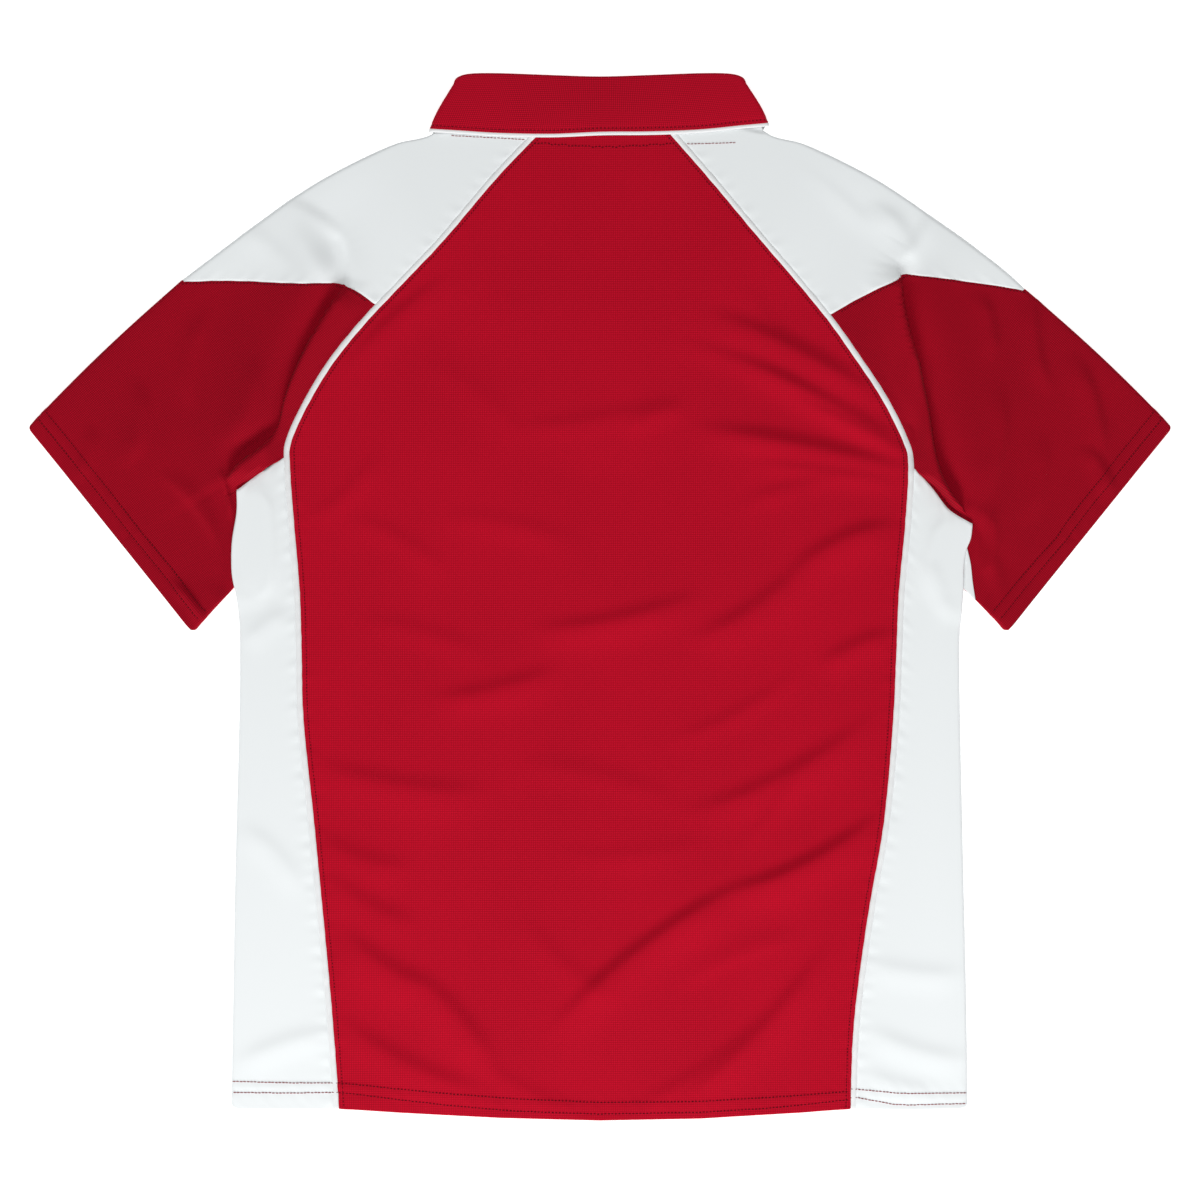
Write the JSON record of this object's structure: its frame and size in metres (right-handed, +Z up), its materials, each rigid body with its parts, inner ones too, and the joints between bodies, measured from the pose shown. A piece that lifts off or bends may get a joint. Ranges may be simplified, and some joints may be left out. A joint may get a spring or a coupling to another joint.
{
  "type": "polo shirt",
  "caption": "Short-sleeved raglan polo shirt laid flat on its front, collar folded, with contrast shoulders, side panels and piping.",
  "frame": {"origin": "middle of the shirt's outline on the surface it lies on", "axes": "+X to the right and +Y to the neck as the back is seen from above, +Z up from the surface"},
  "size_m": [0.8798, 0.8042, 0.0074],
  "materials": {
    "red_knit": "matt polyester micro-mesh knit, dyed red",
    "white_knit": "matt polyester micro-mesh knit, white",
    "piping_tape": "smooth woven piping tape, white",
    "red_button": "polished polyester resin, dyed red"
  },
  "bodies": {
    "root": {"back_panel": "red_knit", "front_panel": "red_knit", "placket": "red_knit", "button_1": "red_button", "button_2": "red_button", "button_3": "red_button", "shoulder_left": "white_knit", "shoulder_right": "white_knit", "sleeve_left": "red_knit", "sleeve_right": "red_knit", "side_left": "white_knit", "side_right": "white_knit", "piping_left": "piping_tape", "piping_right": "piping_tape", "collar": "red_knit", "collar_piping": "piping_tape"}
  },
  "joints": []
}
